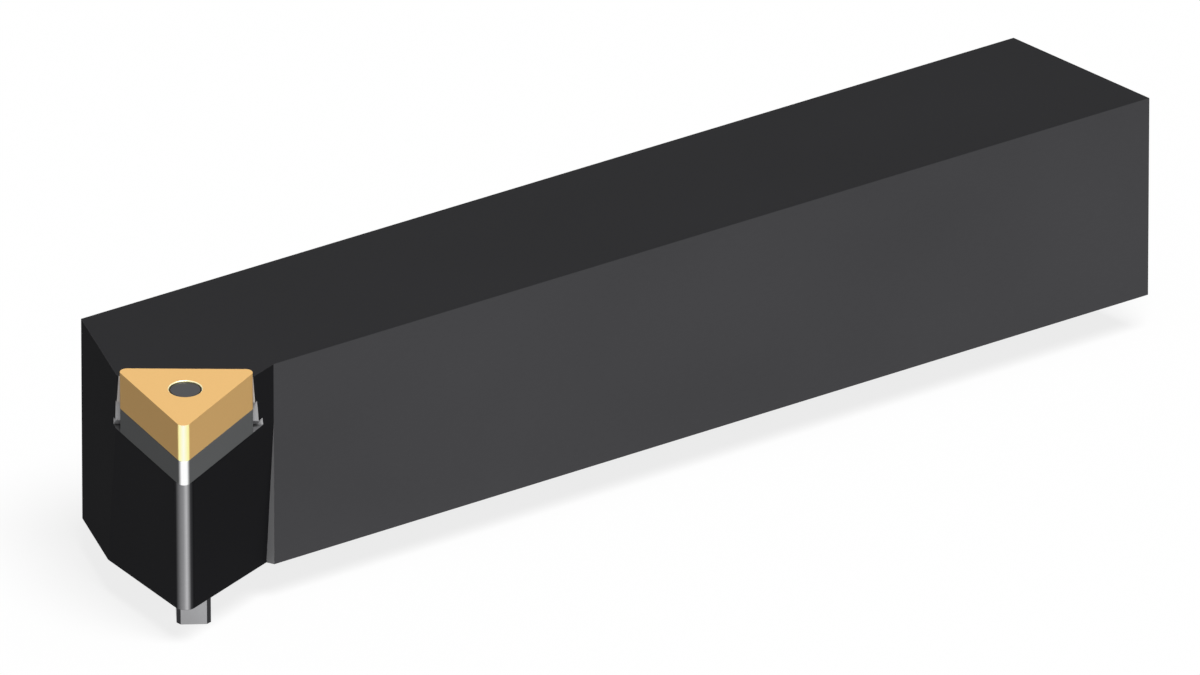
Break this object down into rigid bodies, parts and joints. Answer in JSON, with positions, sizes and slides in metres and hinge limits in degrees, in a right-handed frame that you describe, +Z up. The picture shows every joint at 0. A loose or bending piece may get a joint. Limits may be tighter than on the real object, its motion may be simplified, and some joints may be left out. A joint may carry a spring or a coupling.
{
  "type": "turning tool holder",
  "caption": "Square-shank right-hand turning tool holder with a triangular insert on a shim, locked by an eccentric pin with a square end.",
  "frame": {"origin": "centre of the shank's bottom edge at its rear end, on the bottom face", "axes": "+X along the shank to the cutting end, +Y to the cutting side, +Z up from the shank's bottom face"},
  "size_m": [0.1512, 0.0322, 0.0306],
  "materials": {
    "black_oxide_steel": "black oxide, satin",
    "gold_coated_carbide": "thin gold nitride coating",
    "grey_carbide": "ground, matt",
    "ground_steel": "ground",
    "spring_steel": "plain"
  },
  "bodies": {
    "holder": {"holder_body": "black_oxide_steel", "cutting_insert": "gold_coated_carbide", "shim": "grey_carbide", "shim_sleeve": "spring_steel", "retaining_ring": "spring_steel"},
    "pin": {"cam_pin": "ground_steel"}
  },
  "joints": [
    {"name": "pin_turn", "type": "hinge", "parent": "holder", "child": "pin", "pos_m": [0.14484, 0.0133, 0.02546], "axis": [0.0776, 0.0924, 0.9927], "range_deg": [0, 24]}
  ]
}
